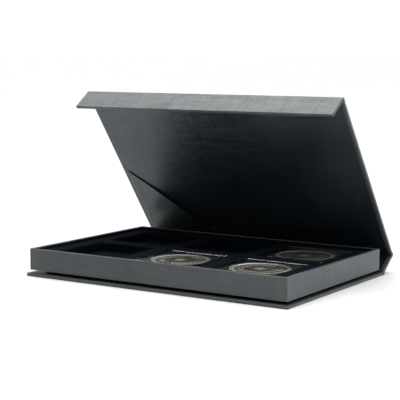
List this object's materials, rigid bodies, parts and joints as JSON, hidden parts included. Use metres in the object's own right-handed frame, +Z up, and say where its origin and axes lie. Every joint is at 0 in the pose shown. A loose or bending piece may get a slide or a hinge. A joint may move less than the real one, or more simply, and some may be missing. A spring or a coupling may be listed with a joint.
{
  "type": "coin presentation case",
  "caption": "Book-style coin case: paper-wrapped board cover with magnetic flap and certificate pocket, and a tray of square velour compartments for coin capsules.",
  "frame": {"origin": "middle of the tray, on the flat underside of the base", "axes": "+X along the spine to the right seen from the front, +Y from the flap side to the spine, +Z up"},
  "size_m": [0.2136, 0.1613, 0.13],
  "materials": {
    "linen_paper": "satin",
    "liner_paper": "satin",
    "grey_board": "matte",
    "dyed_board": "matte",
    "velour": "matte",
    "inlay_foam": "matte",
    "clear_plastic": "gloss",
    "coin_metal": "satin",
    "steel": "satin"
  },
  "bodies": {
    "case": {"base_board": "grey_board", "base_wrap": "linen_paper", "base_liner": "liner_paper", "mounting_pad": "dyed_board", "tray_floor": "grey_board", "tray_front_wall": "grey_board", "tray_back_wall": "grey_board", "tray_left_wall": "grey_board", "tray_right_wall": "grey_board", "tray_wrap": "linen_paper", "tray_plates": "steel", "insert_pad": "velour", "insert_grid": "velour", "spine_crease": "linen_paper"},
    "spine": {"spine_board": "grey_board", "spine_wrap": "linen_paper", "spine_liner": "liner_paper", "lid_crease": "linen_paper"},
    "lid": {"lid_board": "grey_board", "lid_wrap": "linen_paper", "lid_liner": "liner_paper", "pocket_sheet": "liner_paper", "pocket_side_gusset": "liner_paper", "pocket_lower_gusset": "liner_paper", "flap_crease": "linen_paper"},
    "flap": {"flap_board": "grey_board", "flap_wrap": "linen_paper", "flap_liner": "liner_paper", "flap_magnets": "steel"},
    "front_middle_capsule": {"front_middle_capsule_base": "clear_plastic", "front_middle_capsule_inlay": "inlay_foam", "front_middle_coin": "coin_metal"},
    "front_middle_capsule_lid": {"front_middle_capsule_lid": "clear_plastic"},
    "front_right_capsule": {"front_right_capsule_base": "clear_plastic", "front_right_capsule_inlay": "inlay_foam", "front_right_coin": "coin_metal"},
    "front_right_capsule_lid": {"front_right_capsule_lid": "clear_plastic"},
    "back_right_capsule": {"back_right_capsule_base": "clear_plastic", "back_right_capsule_inlay": "inlay_foam", "back_right_coin": "coin_metal"},
    "back_right_capsule_lid": {"back_right_capsule_lid": "clear_plastic"}
  },
  "joints": [
    {"name": "spine_hinge", "type": "hinge", "parent": "case", "child": "spine", "pos_m": [0, 0.0731, 0.0023], "axis": [-1, 0, 0], "range_deg": [-53.5, 36.5], "deforming": ["spine_crease"]},
    {"name": "lid_hinge", "type": "hinge", "parent": "spine", "child": "lid", "pos_m": [0, 0.08729, 0.0128], "axis": [-1, 0, 0], "range_deg": [0, 90], "deforming": ["lid_crease"]},
    {"name": "flap_hinge", "type": "hinge", "parent": "lid", "child": "flap", "pos_m": [0, 0.00217, 0.12783], "axis": [-1, 0, 0], "range_deg": [-2, 88], "deforming": ["flap_crease"]},
    {"name": "front_middle_capsule_lift", "type": "slide", "parent": "case", "child": "front_middle_capsule", "axis": [0, 0, 1], "range_m": [0, 0.025]},
    {"name": "front_middle_capsule_lid_lift", "type": "slide", "parent": "front_middle_capsule", "child": "front_middle_capsule_lid", "axis": [0, 0, 1], "range_m": [0, 0.01]},
    {"name": "front_right_capsule_lift", "type": "slide", "parent": "case", "child": "front_right_capsule", "axis": [0, 0, 1], "range_m": [0, 0.025]},
    {"name": "front_right_capsule_lid_lift", "type": "slide", "parent": "front_right_capsule", "child": "front_right_capsule_lid", "axis": [0, 0, 1], "range_m": [0, 0.01]},
    {"name": "back_right_capsule_lift", "type": "slide", "parent": "case", "child": "back_right_capsule", "axis": [0, 0, 1], "range_m": [0, 0.025]},
    {"name": "back_right_capsule_lid_lift", "type": "slide", "parent": "back_right_capsule", "child": "back_right_capsule_lid", "axis": [0, 0, 1], "range_m": [0, 0.01]}
  ]
}
